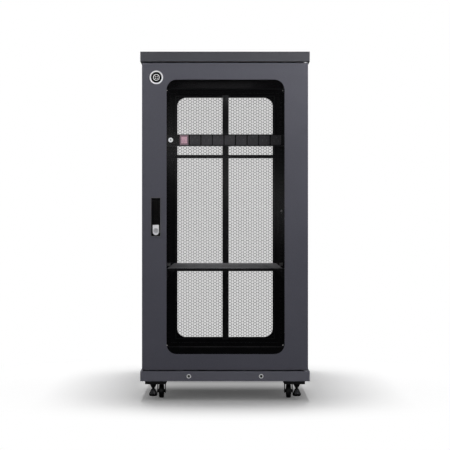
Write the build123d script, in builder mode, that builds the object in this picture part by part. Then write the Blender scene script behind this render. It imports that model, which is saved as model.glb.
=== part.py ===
"""A 22 U network server cabinet on casters, with a glazed front door and a mesh rear door.

Millimetres. +Z is up and the origin is on the floor under the middle of the cabinet. The glazed
door faces -Y, and +X is to the right of someone who faces that door.
"""
from build123d import *
import os

os.makedirs("parts", exist_ok=True)

# ---------------------------------------------------------------- driving dimensions
WIDTH = 600.0            # over the top and bottom frames
DEPTH = 800.0
BODY_HEIGHT = 1166.0     # a 22 U cabinet without its casters
CASTER_HEIGHT = 70.0     # floor to the underside of the bottom frame
BAND = 35.0              # height of the top and bottom frames
SHEET = 1.5              # folded steel sheet
U = 44.45                # one rack unit
UNITS = 22
U_START_Z = 154.7        # lower edge of unit 1
U_HOLES = (6.35, 22.225, 38.1)   # hole heights in each unit
RACK_HOLE_X = 465.1 / 2  # rack hole columns, from the middle
PANEL_WIDTH = 482.6      # a 19 inch front panel
CLEAR = 0.05             # radial running clearance of pins and shafts

# ---------------------------------------------------------------- levels and planes
BOTTOM_Z = CASTER_HEIGHT
BOTTOM_BAND_TOP = BOTTOM_Z + BAND
TOP_Z = BOTTOM_Z + BODY_HEIGHT
ROOF_Z = TOP_Z - SHEET                   # underside of the roof panel
TOP_BAND_BOTTOM = TOP_Z - BAND
FLANGE_X = 52.0                          # width of the frames' section at the sides
FLANGE_Y = 70.0                          # and at the front and the back
LIP_HALF = 246.0                         # half length of the lips that the doors close against
LIP_HEIGHT = 15.0

# Doors. Both are made facing -Y, and the rear one is turned half a turn about Z.
DOOR_GAP = 4.5
DOOR_WIDTH = 588.0
DOOR_THICK = 20.0
DOOR_SETBACK = 3.0                       # door face behind the face of the frames
DOOR_Z0 = BOTTOM_BAND_TOP + DOOR_GAP
DOOR_Z1 = TOP_BAND_BOTTOM - DOOR_GAP
DOOR_FACE_Y = -DEPTH / 2 + DOOR_SETBACK
DOOR_SKIN_Y = DOOR_FACE_Y + SHEET        # inner side of the door's face sheet
DOOR_BACK_Y = DOOR_FACE_Y + DOOR_THICK
DOOR_RETURN = 12.0                       # flange folded in along the back of a door
HINGE_X = 285.0
HINGE_Y = DOOR_FACE_Y + 9.0
HINGE_R = 4.0
HINGE_COLLAR_R = 7.0
HINGE_COLLAR = 4.2

# Window, glass, seal and clamps of the front door
WINDOW_WIDTH, WINDOW_HEIGHT = 418.0, 972.0
WINDOW_X, WINDOW_Z = 2.0, 651.5
WINDOW_R = 36.0
GLASS_LAP = 15.0
GLASS_THICK = 4.0
SEAL_THICK = 2.0
SEAL_WIDTH = 10.0
GLASS_Y0 = DOOR_SKIN_Y + SEAL_THICK
GLASS_Y1 = GLASS_Y0 + GLASS_THICK

# Mesh and stiffener of the rear door
MESH_WIDTH, MESH_HEIGHT = 409.0, 1027.0
MESH_Z = 655.5
MESH_R = 36.0
MESH_LAP = 10.0
MESH_THICK = 1.0
STIFFENER_WIDTH = 26.0
STIFFENER_X = -2.0                       # a little nearer the handle than the middle
STIFFENER_DEPTH = 12.0

# Posts, braces and rack rails
POST_X0, POST_X1 = 249.0, 271.0
POST_FRONT = 372.5                       # outer face of a post, from the middle
POST_DEPTH = 40.0
BRACE_HEIGHT = 40.0
BRACE_X0, BRACE_X1 = 251.0, 269.0
BRACE_LEVELS = (180.0, 650.0, 1120.0)
RAIL_X0, RAIL_X1 = 226.0, 251.0
RAIL_THICK = 2.0
RAIL_LEG = 38.0
RAIL_Z0, RAIL_Z1 = 130.0, 1170.0
RAIL_FRONT_Y = -282.0                    # face that the panels rest on
RAIL_REAR_Y = 238.0
RAIL_HOLE = 9.5
RAIL_BOLT_INSET = 24.0
BOLT_R, BOLT_HOLE_R = 3.0, 3.1
BOLT_HEAD_R, BOLT_HEAD = 5.5, 3.5

# Fixing bushes in the bottom frame
BUSH_X = 128.0
BUSH_R, BUSH_BULGE_R, BUSH_BORE_R = 8.0, 9.5, 4.2
BUSH_HOLE_R = 8.1
BUSH_LENGTH, BUSH_DEPTH = 14.0, 11.0

# Side panels
SIDE_X0, SIDE_X1 = 281.5, 295.0
SIDE_HALF_DEPTH = 370.5
SIDE_GAP = 2.0
SIDE_LOCK_Z = 1150.0
SIDE_LOCK_R = 9.0
SIDE_LOCK_BACK = SIDE_X1 - 16.0

# Handles
HANDLE_X, HANDLE_Z = -245.0, 651.0
RIM_WIDTH, RIM_HEIGHT, RIM_PROUD = 37.0, 140.0, 2.0
DISH_WIDTH, DISH_HEIGHT, DISH_DEPTH = 31.6, 134.6, 14.0
TUB_WALL = 1.2
LEVER_WIDTH = 21.5
LEVER_Z0, LEVER_Z1 = 587.0, 714.0
LEVER_Y0 = DOOR_FACE_Y - 1.0             # face of the lever
LEVER_BACK = 11.0
PIVOT_Y = LEVER_Y0 + 6.0
PIVOT_Z = LEVER_Z1 - 6.0
PIVOT_R = 2.0
LOCK_Z1 = 623.0                          # upper end of the lever's metal tip
CYLINDER_Z = 603.0
CYLINDER_R = 6.5
CAM_Z = 680.0
CAM_REACH = 30.0

# Casters and feet
CASTER_X, CASTER_Y = 229.0, 310.0
CASTER_TRAIL = 14.0
WHEEL_R, WHEEL_WIDTH = 25.0, 17.0
AXLE_R = 3.0
HUB_R, HUB_WIDTH = 6.0, 24.0
FORK_WIDTH, FORK_PLATE = 30.0, 2.5
FORK_TIP_R = 8.0
BRACKET_X0, BRACKET_X1 = 210.0, 284.0
BRACKET_Y0, BRACKET_Y1 = 262.0, 385.0
BRACKET_PLATE, BRACKET_SKIRT = 3.0, 13.0
SWIVEL_TOP = BOTTOM_Z - BRACKET_PLATE
SWIVEL_PLATE = 3.0
SWIVEL_X, SWIVEL_Y = 38.0, 56.0
RACE_R, RACE_BOTTOM = 17.0, 56.5
CROWN_R, CROWN_TOP, CROWN_THICK = 19.0, RACE_BOTTOM - 0.3, 3.0
KING_PIN_R = 4.0
KING_PIN_TOP = SWIVEL_TOP - 1.0
FOOT_X, FOOT_Y = 256.0, 365.0
FOOT_BOTTOM, FOOT_R = 13.5, 15.0
FOOT_RIM_TOP, FOOT_NECK_Z, FOOT_NECK_R = 21.5, 38.0, 6.5
STUD_R, STUD_TOP = 5.0, 97.0
LOCKNUT_Z0, LOCKNUT_Z1 = 43.0, 54.0
LOCKNUT_R0, LOCKNUT_R1 = 6.5, 12.0

# Shelf, power strip and lacing bar
EAR = 2.0                                # thickness of a panel ear
EAR_Y0 = RAIL_FRONT_Y - EAR
SHELF_WIDTH = 420.0
SHELF_UNIT_Z = U_START_Z + 6 * U
SHELF_TOP = SHELF_UNIT_Z + 43.5
SHELF_LIP = 10.7
EAR_HEIGHT = 43.0
STRIP_Z = U_START_Z + 17.5 * U
STRIP_HEIGHT = 41.5
STRIP_BODY_WIDTH, STRIP_BODY_HEIGHT, STRIP_BODY_DEPTH = 440.0, 38.0, 44.0
OUTLETS, OUTLET_PITCH, FIRST_OUTLET_X = 8, 42.1, -109.0
OUTLET_WIDTH, OUTLET_HEIGHT = 37.8, 35.0
SWITCH_X = -149.0
BEZEL_WIDTH, BEZEL_HEIGHT = 31.0, 37.0
ROCKER_WIDTH, ROCKER_HEIGHT, ROCKER_PIVOT = 21.0, 24.0, 5.0
RESET_X, RESET_R, RESET_RING_R = -198.0, 5.5, 8.5
LACING_Z = U_START_Z + 16 * U + U_HOLES[0]
LACING_HEIGHT, LACING_DEPTH = 12.4, 12.0

# Fans
FAN_X, FAN_Y = 80.0, -40.0
FAN_SIZE, FAN_THICK = 120.0, 25.0
FAN_DUCT_R, FAN_TIP_R, FAN_HUB_R = 57.0, 55.0, 20.0
FAN_BLADES = 7
FAN_SHAFT_R = 2.0

# Cable openings in the roof and the base
CABLE_WIDTH, CABLE_DEPTH, CABLE_Y = 300.0, 90.0, 250.0

CORNERS = {"front_left": (-1, -1), "front_right": (1, -1), "rear_left": (-1, 1), "rear_right": (1, 1)}
SIDES = {"left": -1, "right": 1}
AXIS_TURN = {"X": (0, 90, 0), "Y": (90, 0, 0), "Z": (0, 0, 0)}


def save(part, name):
    """Labels a finished piece and writes it as parts/NAME.step."""
    part.label = name
    export_step(part, f"parts/{name}.step")


def block(xs, ys, zs, mode=Mode.ADD):
    """A box between two limits on each axis, in either order."""
    centre = [(a + b) / 2 for a, b in (xs, ys, zs)]
    with Locations(tuple(centre)):
        Box(*[abs(b - a) for a, b in (xs, ys, zs)], mode=mode)


def rod(axis, across, along, radius, mode=Mode.ADD):
    """A cylinder. across is its centre on the two other axes, along its two ends."""
    middle = (along[0] + along[1]) / 2
    centre = {"X": (middle, *across), "Y": (across[0], middle, across[1]), "Z": (*across, middle)}[axis]
    with Locations(centre):
        Cylinder(radius, abs(along[1] - along[0]), rotation=AXIS_TURN[axis], mode=mode)


def face_plane(y):
    """A sketch plane at y. Its x and y run along X and Z, and its normal points to -Y."""
    return Plane(origin=(0, y, 0), x_dir=(1, 0, 0), z_dir=(0, -1, 0))


def half_turn(part):
    """A part of the front door, carried round to the rear door."""
    return part.rotate(Axis.Z, 180)


def u_hole_heights():
    """Heights of all the rack holes, three to a unit."""
    return [U_START_Z + unit * U + offset for unit in range(UNITS) for offset in U_HOLES]


# ---------------------------------------------------------------- frames, roof and base
def ring_frame(z0, height, door_z, way):
    """A welded ring of box section, the band seen round the cabinet.

    door_z is the level of its side towards the doors, and way the direction from there to them.
    A lip stands behind the edge of each door, and a hinge pin goes in beside it.
    """
    inner_x, inner_y = WIDTH - 2 * FLANGE_X, DEPTH - 2 * FLANGE_Y
    with BuildPart() as ring:
        with BuildSketch(Plane.XY.offset(z0)):
            RectangleRounded(WIDTH, DEPTH, 2.5)
            Rectangle(inner_x, inner_y, mode=Mode.SUBTRACT)
        extrude(amount=height)
        with BuildSketch(Plane.XY.offset(z0 + SHEET)):
            RectangleRounded(WIDTH - 2 * SHEET, DEPTH - 2 * SHEET, 1)
            Rectangle(inner_x + 2 * SHEET, inner_y + 2 * SHEET, mode=Mode.SUBTRACT)
        extrude(amount=height - 2 * SHEET, mode=Mode.SUBTRACT)
        for turn in (1, -1):
            block((-LIP_HALF, LIP_HALF), (turn * POST_FRONT, turn * (POST_FRONT + SHEET)),
                  (door_z, door_z + way * LIP_HEIGHT))
            rod("Z", (turn * HINGE_X, turn * HINGE_Y), (door_z - 3, door_z + 3), HINGE_R, Mode.SUBTRACT)
    return ring.part


save(ring_frame(TOP_BAND_BOTTOM, BAND - SHEET, TOP_BAND_BOTTOM, -1), "top_frame")

bottom_ring = ring_frame(BOTTOM_Z, BAND, BOTTOM_BAND_TOP, 1)
with BuildPart() as bottom_frame:
    add(bottom_ring)
    for sx, sy in CORNERS.values():
        rod("Z", (sx * FOOT_X, sy * FOOT_Y), (BOTTOM_Z - 1, BOTTOM_Z + 3), STUD_R + 0.4, Mode.SUBTRACT)
    for sx in SIDES.values():
        for sy in (-1, 1):
            rod("Y", (sx * BUSH_X, BOTTOM_Z + BAND / 2), (sy * (DEPTH / 2 - 5), sy * DEPTH), BUSH_HOLE_R,
                Mode.SUBTRACT)
save(bottom_frame.part, "bottom_frame")

with BuildPart() as top_cover:
    with BuildSketch(Plane.XY.offset(ROOF_Z)):
        RectangleRounded(WIDTH, DEPTH, 2.5)
        with Locations((0, CABLE_Y)):
            RectangleRounded(CABLE_WIDTH, CABLE_DEPTH, 8, mode=Mode.SUBTRACT)
        for fan_x in (-FAN_X, FAN_X):
            for ring_r in (27, 37, 47):
                for start in (10, 100, 190, 280):
                    with Locations((fan_x, FAN_Y)):
                        SlotArc(CenterArc((0, 0), ring_r, start, 70), 6, mode=Mode.SUBTRACT)
        with Locations((0, -225)):
            with GridLocations(26, 14, 13, 5):
                SlotOverall(20, 5, mode=Mode.SUBTRACT)
    extrude(amount=SHEET)
save(top_cover.part, "top_cover")

with BuildPart() as base_panel:
    with BuildSketch(Plane.XY.offset(BOTTOM_Z + SHEET)):
        Rectangle(WIDTH - 2 * FLANGE_X, DEPTH - 2 * FLANGE_Y)
        with Locations((0, CABLE_Y)):
            RectangleRounded(CABLE_WIDTH, CABLE_DEPTH, 8, mode=Mode.SUBTRACT)
        with Locations((0, -100)):
            with GridLocations(34, 22, 9, 7):
                SlotOverall(26, 6, mode=Mode.SUBTRACT)
    extrude(amount=SHEET)
save(base_panel.part, "base_panel")

# ---------------------------------------------------------------- posts, braces and rails
for corner, (sx, sy) in CORNERS.items():
    with BuildPart() as post:
        with BuildSketch(Plane.XY.offset(BOTTOM_BAND_TOP)):
            with Locations((sx * (POST_X0 + POST_X1) / 2, sy * (POST_FRONT - POST_DEPTH / 2))):
                RectangleRounded(POST_X1 - POST_X0, POST_DEPTH, 3)
                RectangleRounded(POST_X1 - POST_X0 - 2 * SHEET, POST_DEPTH - 2 * SHEET, 1.5,
                                 mode=Mode.SUBTRACT)
        extrude(amount=TOP_BAND_BOTTOM - BOTTOM_BAND_TOP)
    save(post.part, f"corner_post_{corner}")

BRACE_END = POST_FRONT - POST_DEPTH
RAIL_BOLT_YS = (RAIL_FRONT_Y + RAIL_BOLT_INSET, RAIL_REAR_Y - RAIL_BOLT_INSET)
with BuildPart() as side_braces:
    for sx in SIDES.values():
        for level in BRACE_LEVELS:
            low, high = level - BRACE_HEIGHT / 2, level + BRACE_HEIGHT / 2
            block((sx * BRACE_X0, sx * BRACE_X1), (-BRACE_END, BRACE_END), (low, high))
            block((sx * (BRACE_X0 + SHEET), sx * (BRACE_X1 + 1)), (-BRACE_END - 1, BRACE_END + 1),
                  (low + SHEET, high - SHEET), Mode.SUBTRACT)
            for y in RAIL_BOLT_YS:
                rod("X", (y, level), (sx * (BRACE_X0 - 1), sx * (BRACE_X0 + 3)), BOLT_HOLE_R, Mode.SUBTRACT)
save(side_braces.part, "side_braces")


def rack_rail(sx, face_y, inward):
    """An angle rail with square holes. inward is the way its leg runs along Y."""
    leg_y = face_y + inward * RAIL_LEG
    with BuildPart() as rail:
        block((sx * RAIL_X0, sx * RAIL_X1), (face_y, face_y + inward * RAIL_THICK), (RAIL_Z0, RAIL_Z1))
        block((sx * (RAIL_X1 - RAIL_THICK), sx * RAIL_X1), (face_y, leg_y), (RAIL_Z0, RAIL_Z1))
        with BuildSketch(face_plane(face_y + inward * RAIL_THICK / 2)):
            with Locations(*[(sx * RACK_HOLE_X, z) for z in u_hole_heights()]):
                Rectangle(RAIL_HOLE, RAIL_HOLE)
        extrude(amount=RAIL_THICK, both=True, mode=Mode.SUBTRACT)
        for level in BRACE_LEVELS:
            bolt_y = face_y + inward * RAIL_BOLT_INSET
            rod("X", (bolt_y, level), (sx * (RAIL_X1 - 3), sx * (RAIL_X1 + 1)), BOLT_HOLE_R, Mode.SUBTRACT)
    return rail.part


for side, sx in SIDES.items():
    save(rack_rail(sx, RAIL_FRONT_Y, 1), f"rail_front_{side}")
    save(rack_rail(sx, RAIL_REAR_Y, -1), f"rail_rear_{side}")

# Rail bolts, fixing bushes, lock nuts of the feet and bolts of the casters
with BuildPart() as frame_fasteners:
    for sx in SIDES.values():
        for y in RAIL_BOLT_YS:
            for level in BRACE_LEVELS:
                seat = RAIL_X1 - RAIL_THICK
                rod("X", (y, level), (sx * (seat - BOLT_HEAD), sx * seat), BOLT_HEAD_R)
                rod("X", (y, level), (sx * seat, sx * (seat + 10)), BOLT_R)
        for sy in (-1, 1):
            outer = sy * DEPTH / 2
            at = (sx * BUSH_X, BOTTOM_Z + BAND / 2)
            rod("Y", at, (outer, outer - sy * BUSH_LENGTH), BUSH_R)
            rod("Y", at, (outer - sy * SHEET, outer - sy * (SHEET + 2.5)), BUSH_BULGE_R)
            rod("Y", at, (outer + sy, outer - sy * BUSH_DEPTH), BUSH_BORE_R, Mode.SUBTRACT)
    for sx, sy in CORNERS.values():
        foot = (sx * FOOT_X, sy * FOOT_Y)
        with Locations((*foot, (LOCKNUT_Z0 + LOCKNUT_Z1) / 2)):
            Cone(LOCKNUT_R0, LOCKNUT_R1, LOCKNUT_Z1 - LOCKNUT_Z0)
        rod("Z", foot, (LOCKNUT_Z1, SWIVEL_TOP), 8.0)
        rod("Z", foot, (LOCKNUT_Z0 - 1, SWIVEL_TOP + 1), STUD_R + CLEAR, Mode.SUBTRACT)
        for dx in (-11, 11):
            for dy in (-22, 22):
                bolt = (sx * CASTER_X + dx, sy * CASTER_Y + dy)
                rod("Z", bolt, (SWIVEL_TOP - SWIVEL_PLATE - 3, SWIVEL_TOP - SWIVEL_PLATE), 4.0)
save(frame_fasteners.part, "frame_fasteners")

with BuildPart() as hinge_pins:
    for turn in (1, -1):
        at = (turn * HINGE_X, turn * HINGE_Y)
        for frame_z, way in ((TOP_BAND_BOTTOM, -1), (BOTTOM_BAND_TOP, 1)):
            rod("Z", at, (frame_z - way * SHEET, frame_z + way * 17), HINGE_R)
            rod("Z", at, (frame_z, frame_z + way * HINGE_COLLAR), HINGE_COLLAR_R)
save(hinge_pins.part, "hinge_pins")

# ---------------------------------------------------------------- casters and feet
with BuildPart() as caster_brackets:
    for sx, sy in CORNERS.values():
        xs, ys = (sx * BRACKET_X0, sx * BRACKET_X1), (sy * BRACKET_Y0, sy * BRACKET_Y1)
        king = (sx * CASTER_X, sy * CASTER_Y)
        block(xs, ys, (BOTTOM_Z - BRACKET_SKIRT, BOTTOM_Z))
        block((xs[0] + sx * BRACKET_PLATE, xs[1] - sx * BRACKET_PLATE),
              (ys[0] - sy, ys[1] - sy * BRACKET_PLATE),
              (BOTTOM_Z - BRACKET_SKIRT - 1, SWIVEL_TOP), Mode.SUBTRACT)
        block((king[0] - SWIVEL_X / 2, king[0] + SWIVEL_X / 2),
              (king[1] - SWIVEL_Y / 2, king[1] + SWIVEL_Y / 2), (SWIVEL_TOP - SWIVEL_PLATE, SWIVEL_TOP))
        rod("Z", king, (RACE_BOTTOM, SWIVEL_TOP), RACE_R)
        rod("Z", king, (RACE_BOTTOM - 1, SWIVEL_TOP), KING_PIN_R + CLEAR, Mode.SUBTRACT)
        rod("Z", (sx * FOOT_X, sy * FOOT_Y), (SWIVEL_TOP - 1, BOTTOM_Z + 1), STUD_R + 0.4, Mode.SUBTRACT)
save(caster_brackets.part, "caster_brackets")

for corner, (sx, sy) in CORNERS.items():
    x0, y0 = sx * CASTER_X, sy * CASTER_Y
    wheel_y = y0 + sy * CASTER_TRAIL
    crown_bottom = CROWN_TOP - CROWN_THICK
    with BuildPart() as fork:
        rod("Z", (x0, y0), (crown_bottom, CROWN_TOP), CROWN_R)
        rod("Z", (x0, y0), (crown_bottom, KING_PIN_TOP), KING_PIN_R)
        for inner in (FORK_WIDTH / 2 - FORK_PLATE, -FORK_WIDTH / 2):
            with BuildSketch(Plane.YZ.offset(x0 + inner)):
                Polygon((y0 - sy * 11, CROWN_TOP), (y0 - sy * 11, 46), (wheel_y - sy * FORK_TIP_R, WHEEL_R),
                        (wheel_y + sy * FORK_TIP_R, WHEEL_R), (y0 + sy * 16, CROWN_TOP), align=None)
                with Locations((wheel_y, WHEEL_R)):
                    Circle(FORK_TIP_R)
            extrude(amount=FORK_PLATE)
        rod("X", (wheel_y, WHEEL_R), (x0 - FORK_WIDTH / 2 - 1.5, x0 + FORK_WIDTH / 2 + 1.5), AXLE_R)
    save(fork.part, f"caster_fork_{corner}")

    with BuildPart() as wheel:
        with Locations((x0, wheel_y, WHEEL_R)):
            Cylinder(WHEEL_R, WHEEL_WIDTH, rotation=AXIS_TURN["X"])
        fillet(wheel.edges().filter_by(GeomType.CIRCLE), 4)
        for end in (-1, 1):
            rod("X", (wheel_y, WHEEL_R), (x0 + end * (WHEEL_WIDTH / 2 - 3), x0 + end * WHEEL_WIDTH), 17,
                Mode.SUBTRACT)
        rod("X", (wheel_y, WHEEL_R), (x0 - HUB_WIDTH / 2, x0 + HUB_WIDTH / 2), HUB_R)
        rod("X", (wheel_y, WHEEL_R), (x0 - HUB_WIDTH, x0 + HUB_WIDTH), AXLE_R + CLEAR, Mode.SUBTRACT)
    save(wheel.part, f"caster_wheel_{corner}")

    with BuildPart() as foot:
        with BuildSketch(Plane.XZ):
            Polygon((0, FOOT_BOTTOM), (FOOT_R - 2, FOOT_BOTTOM), (FOOT_R, FOOT_BOTTOM + 3),
                    (FOOT_R, FOOT_RIM_TOP), (FOOT_NECK_R, FOOT_NECK_Z), (STUD_R, FOOT_NECK_Z),
                    (STUD_R, STUD_TOP), (0, STUD_TOP), align=None)
        revolve(axis=Axis.Z)
    save(foot.part.moved(Location((sx * FOOT_X, sy * FOOT_Y, 0))), f"level_foot_{corner}")

# ---------------------------------------------------------------- side panels
for side, sx in SIDES.items():
    z0, z1 = BOTTOM_BAND_TOP + SIDE_GAP, TOP_BAND_BOTTOM - SIDE_GAP
    skin_x = SIDE_X1 - SHEET
    with BuildPart() as side_panel:
        block((sx * SIDE_X0, sx * SIDE_X1), (-SIDE_HALF_DEPTH, SIDE_HALF_DEPTH), (z0, z1))
        block((sx * (SIDE_X0 - 1), sx * skin_x), (SHEET - SIDE_HALF_DEPTH, SIDE_HALF_DEPTH - SHEET),
              (z0 + SHEET, z1 - SHEET), Mode.SUBTRACT)
        rod("X", (0, SIDE_LOCK_Z), (sx * (skin_x - 1), sx * (SIDE_X1 + 1)), SIDE_LOCK_R + CLEAR,
            Mode.SUBTRACT)
    save(side_panel.part, f"side_panel_{side}")

    with BuildPart() as side_lock:
        rod("X", (0, SIDE_LOCK_Z), (sx * SIDE_LOCK_BACK, sx * SIDE_X1), SIDE_LOCK_R)
        block((sx * (SIDE_LOCK_BACK - 2), sx * SIDE_LOCK_BACK), (-7, 7), (SIDE_LOCK_Z - 7, SIDE_LOCK_Z + 32))
        block((sx * (SIDE_X1 - 3), sx * (SIDE_X1 + 1)), (-1, 1), (SIDE_LOCK_Z - 5, SIDE_LOCK_Z + 5),
              Mode.SUBTRACT)
    save(side_lock.part, f"side_lock_{side}")


# ---------------------------------------------------------------- doors
def door_pan(opening_width, opening_height, opening_x, opening_z, opening_r):
    """A folded door pan with one rounded opening and the cut-out for its handle."""
    half = DOOR_WIDTH / 2
    with BuildPart() as pan:
        block((-half, half), (DOOR_FACE_Y, DOOR_BACK_Y), (DOOR_Z0, DOOR_Z1))
        fillet(pan.faces().sort_by(Axis.Y)[0].edges(), 1.0)
        block((SHEET - half, half - SHEET), (DOOR_SKIN_Y, DOOR_BACK_Y - SHEET),
              (DOOR_Z0 + SHEET, DOOR_Z1 - SHEET), Mode.SUBTRACT)
        block((DOOR_RETURN - half, half - DOOR_RETURN), (DOOR_SKIN_Y, DOOR_BACK_Y + 1),
              (DOOR_Z0 + DOOR_RETURN, DOOR_Z1 - DOOR_RETURN), Mode.SUBTRACT)
        with BuildSketch(face_plane(DOOR_SKIN_Y)):
            with Locations((opening_x, opening_z)):
                RectangleRounded(opening_width, opening_height, opening_r)
            with Locations((HANDLE_X, HANDLE_Z)):
                Rectangle(DISH_WIDTH + 2 * TUB_WALL, DISH_HEIGHT + 2 * TUB_WALL)
        extrude(amount=SHEET + 1, mode=Mode.SUBTRACT)
        for z in (DOOR_Z0, DOOR_Z1):
            rod("Z", (HINGE_X, HINGE_Y), (z - 3, z + 3), HINGE_R + CLEAR, Mode.SUBTRACT)
    return pan.part


def handle_housing():
    """The dished housing of a lever handle, with its pivot pin across the dish."""
    tub_x = DISH_WIDTH / 2 + TUB_WALL
    tub_z = DISH_HEIGHT / 2 + TUB_WALL
    dish_y = DOOR_FACE_Y - RIM_PROUD + DISH_DEPTH
    with BuildPart() as housing:
        with BuildSketch(face_plane(DOOR_FACE_Y)):
            with Locations((HANDLE_X, HANDLE_Z)):
                RectangleRounded(RIM_WIDTH, RIM_HEIGHT, 4)
        extrude(amount=RIM_PROUD)
        block((HANDLE_X - tub_x, HANDLE_X + tub_x), (DOOR_FACE_Y, dish_y + TUB_WALL),
              (HANDLE_Z - tub_z, HANDLE_Z + tub_z))
        block((HANDLE_X - DISH_WIDTH / 2, HANDLE_X + DISH_WIDTH / 2), (DOOR_FACE_Y - 3, dish_y),
              (HANDLE_Z - DISH_HEIGHT / 2, HANDLE_Z + DISH_HEIGHT / 2), Mode.SUBTRACT)
        rod("X", (PIVOT_Y, PIVOT_Z), (HANDLE_X - tub_x, HANDLE_X + tub_x), PIVOT_R)
        rod("Y", (HANDLE_X, CAM_Z), (dish_y, dish_y + TUB_WALL + 1), 4 + CLEAR, Mode.SUBTRACT)
    return housing.part


def lever_blank(z0, z1):
    """The lever between two heights, rounded at both of its ends and about its pivot."""
    reach = LEVER_WIDTH / 2 + 1
    across = (HANDLE_X - reach, HANDLE_X + reach)
    through = (LEVER_Y0 - 1, LEVER_Y0 + 2 * LEVER_BACK)
    back_y = LEVER_Y0 + LEVER_BACK
    with BuildPart() as lever:
        with BuildSketch(face_plane(through[1])):
            with Locations((HANDLE_X, (LEVER_Z0 + LEVER_Z1) / 2)):
                SlotOverall(LEVER_Z1 - LEVER_Z0, LEVER_WIDTH, rotation=90)
        extrude(amount=through[1] - through[0])
        with BuildSketch(Plane.YZ.offset(HANDLE_X)):
            with Locations(((LEVER_Y0 + back_y) / 2, (LEVER_Z0 + PIVOT_Z) / 2)):
                Rectangle(LEVER_BACK, PIVOT_Z - LEVER_Z0)
            with Locations((PIVOT_Y, PIVOT_Z)):
                Circle(LEVER_Z1 - PIVOT_Z)
        extrude(amount=reach, both=True, mode=Mode.INTERSECT)
        block(across, through, (z0, z1), Mode.INTERSECT)
        rod("X", (PIVOT_Y, PIVOT_Z), across, PIVOT_R + CLEAR, Mode.SUBTRACT)
        rod("Y", (HANDLE_X, CYLINDER_Z), through, CYLINDER_R + CLEAR, Mode.SUBTRACT)
    return lever.part


def key_cylinder():
    """The lock cylinder in the lower end of a lever, with a key slot in its face."""
    with BuildPart() as cylinder:
        rod("Y", (HANDLE_X, CYLINDER_Z), (LEVER_Y0 - 0.5, LEVER_Y0 + LEVER_BACK + 0.5), CYLINDER_R)
        block((HANDLE_X - 1, HANDLE_X + 1), (LEVER_Y0 - 1, LEVER_Y0 + 4), (CYLINDER_Z - 4, CYLINDER_Z + 4),
              Mode.SUBTRACT)
    return cylinder.part


def latch_cam():
    """The cam behind a handle, on the spindle that the lever turns."""
    back_y = DOOR_FACE_Y - RIM_PROUD + DISH_DEPTH + TUB_WALL
    with BuildPart() as cam:
        rod("Y", (HANDLE_X, CAM_Z), (back_y - TUB_WALL + 0.2, DOOR_BACK_Y), 4.0)
        rod("Y", (HANDLE_X, CAM_Z), (back_y + 0.5, back_y + 3.5), 8.0)
        block((HANDLE_X - CAM_REACH, HANDLE_X), (back_y + 0.5, back_y + 3.5), (CAM_Z - 6, CAM_Z + 6))
    return cam.part


save(door_pan(WINDOW_WIDTH, WINDOW_HEIGHT, WINDOW_X, WINDOW_Z, WINDOW_R), "front_door_frame")
save(half_turn(door_pan(MESH_WIDTH, MESH_HEIGHT, 0, MESH_Z, MESH_R)), "rear_door_frame")

GLASS_WIDTH, GLASS_HEIGHT = WINDOW_WIDTH + 2 * GLASS_LAP, WINDOW_HEIGHT + 2 * GLASS_LAP
with BuildPart() as front_glass:
    with BuildSketch(face_plane(GLASS_Y1)):
        with Locations((WINDOW_X, WINDOW_Z)):
            RectangleRounded(GLASS_WIDTH, GLASS_HEIGHT, 20)
    extrude(amount=GLASS_THICK)
save(front_glass.part, "front_glass")

with BuildPart() as glass_seal:
    with BuildSketch(face_plane(GLASS_Y0)):
        with Locations((WINDOW_X, WINDOW_Z)):
            outer, inner = 2 * GLASS_LAP - 4, 2 * (GLASS_LAP - SEAL_WIDTH) - 4
            RectangleRounded(WINDOW_WIDTH + outer, WINDOW_HEIGHT + outer, WINDOW_R + outer / 2)
            RectangleRounded(WINDOW_WIDTH + inner, WINDOW_HEIGHT + inner, WINDOW_R + inner / 2,
                             mode=Mode.SUBTRACT)
    extrude(amount=SEAL_THICK)
save(glass_seal.part, "glass_seal")

# Clamps that hold the glass, four up each side and one at each end
CLAMP_FOOT, CLAMP_LAP, CLAMP_LENGTH, CLAMP_SHEET = 9.0, 9.0, 30.0, 1.5
with BuildPart() as glass_clamps:
    side_zs = [WINDOW_Z + k * WINDOW_HEIGHT / 8 for k in (-3, -1, 1, 3)]
    for way in (-1, 1):
        edge = WINDOW_X + way * GLASS_WIDTH / 2
        for z in side_zs:
            zs = (z - CLAMP_LENGTH / 2, z + CLAMP_LENGTH / 2)
            block((edge, edge + way * CLAMP_FOOT), (DOOR_SKIN_Y, GLASS_Y1 + CLAMP_SHEET), zs)
            block((edge - way * CLAMP_LAP, edge), (GLASS_Y1, GLASS_Y1 + CLAMP_SHEET), zs)
            rod("Y", (edge + way * CLAMP_FOOT / 2, z), (GLASS_Y1 + CLAMP_SHEET, GLASS_Y1 + 3.5), 3.5)
        end = WINDOW_Z + way * GLASS_HEIGHT / 2
        xs = (WINDOW_X - CLAMP_LENGTH / 2, WINDOW_X + CLAMP_LENGTH / 2)
        block(xs, (DOOR_SKIN_Y, GLASS_Y1 + CLAMP_SHEET), (end, end + way * CLAMP_FOOT))
        block(xs, (GLASS_Y1, GLASS_Y1 + CLAMP_SHEET), (end - way * CLAMP_LAP, end))
        rod("Y", (WINDOW_X, end + way * CLAMP_FOOT / 2), (GLASS_Y1 + CLAMP_SHEET, GLASS_Y1 + 3.5), 3.5)
save(glass_clamps.part, "glass_clamps")

BADGE_X, BADGE_Z, BADGE_R, BADGE_INSET_R, BADGE_THICK = -243.0, 1145.0, 24.0, 19.0, 2.0
with BuildPart() as badge:
    rod("Y", (BADGE_X, BADGE_Z), (DOOR_FACE_Y - BADGE_THICK, DOOR_FACE_Y), BADGE_R)
    rod("Y", (BADGE_X, BADGE_Z), (DOOR_FACE_Y - BADGE_THICK - 1, DOOR_FACE_Y - 1.2), BADGE_INSET_R,
        Mode.SUBTRACT)
save(badge.part, "badge")

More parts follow.
